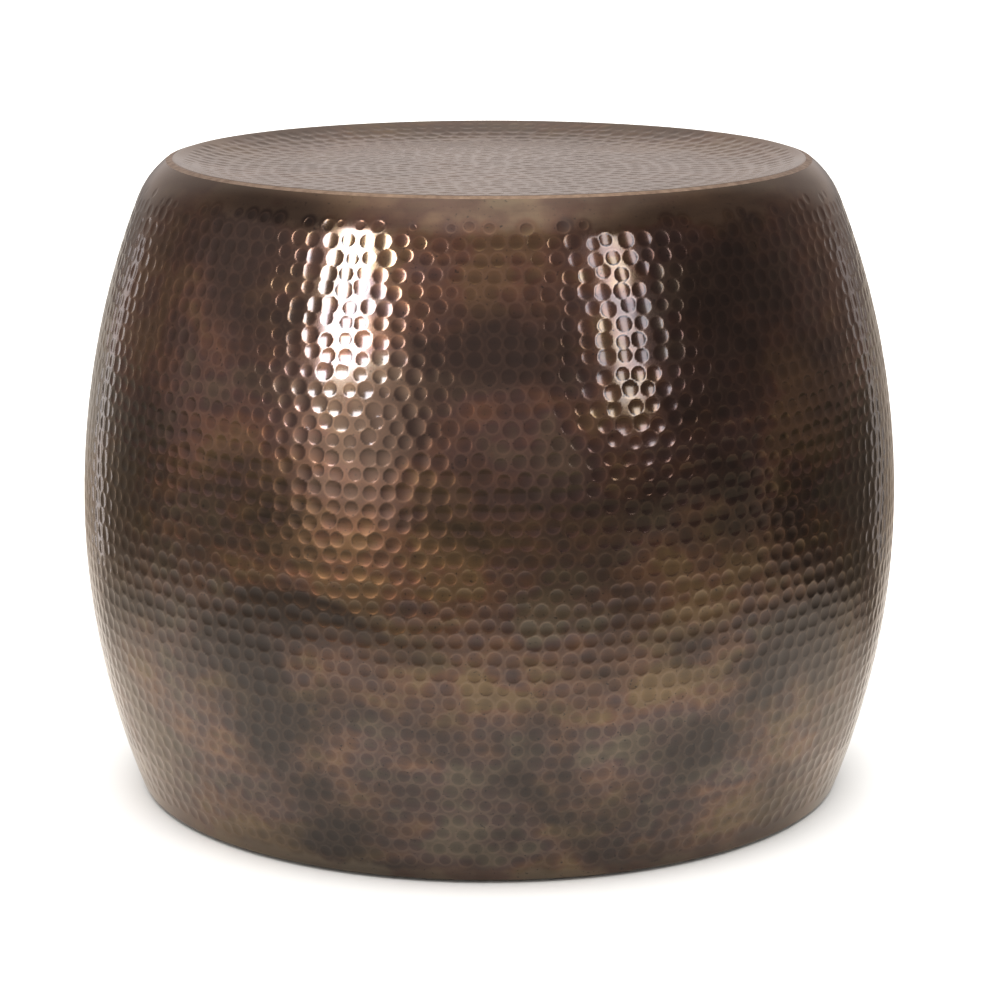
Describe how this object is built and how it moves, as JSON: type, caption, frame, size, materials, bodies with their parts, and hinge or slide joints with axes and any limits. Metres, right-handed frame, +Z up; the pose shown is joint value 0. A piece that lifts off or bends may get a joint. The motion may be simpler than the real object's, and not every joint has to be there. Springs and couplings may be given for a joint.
{
  "type": "drum side table",
  "caption": "Barrel-shaped side table of hammered, antiqued copper sheet with a dished tray top, smooth shoulder and open base on low rubber feet.",
  "frame": {"origin": "on the floor, under the centre of the drum", "axes": "+Z up along the drum's axis, -Y towards the viewer of the picture, +X to the right"},
  "size_m": [0.58, 0.5798, 0.45],
  "materials": {
    "hammered_copper": "hammered, antiqued to dark brown with copper highlights, lacquered",
    "braze": "bronze filler, dressed flush",
    "mild_steel": "mill scale, oiled",
    "rivet_steel": "zinc plated, dull",
    "foot_rubber": "moulded, matte"
  },
  "bodies": {
    "root": {"top_tray": "hammered_copper", "upper_shell": "hammered_copper", "lower_shell": "hammered_copper", "rim_braze": "braze", "waist_braze": "braze", "brace_hoop": "mild_steel", "brace_bar_long": "mild_steel", "brace_bar_cross": "mild_steel", "base_ring": "mild_steel", "base_rivets": "rivet_steel", "foot_1": "foot_rubber", "foot_2": "foot_rubber", "foot_3": "foot_rubber", "foot_4": "foot_rubber", "foot_5": "foot_rubber", "foot_6": "foot_rubber"}
  },
  "joints": []
}
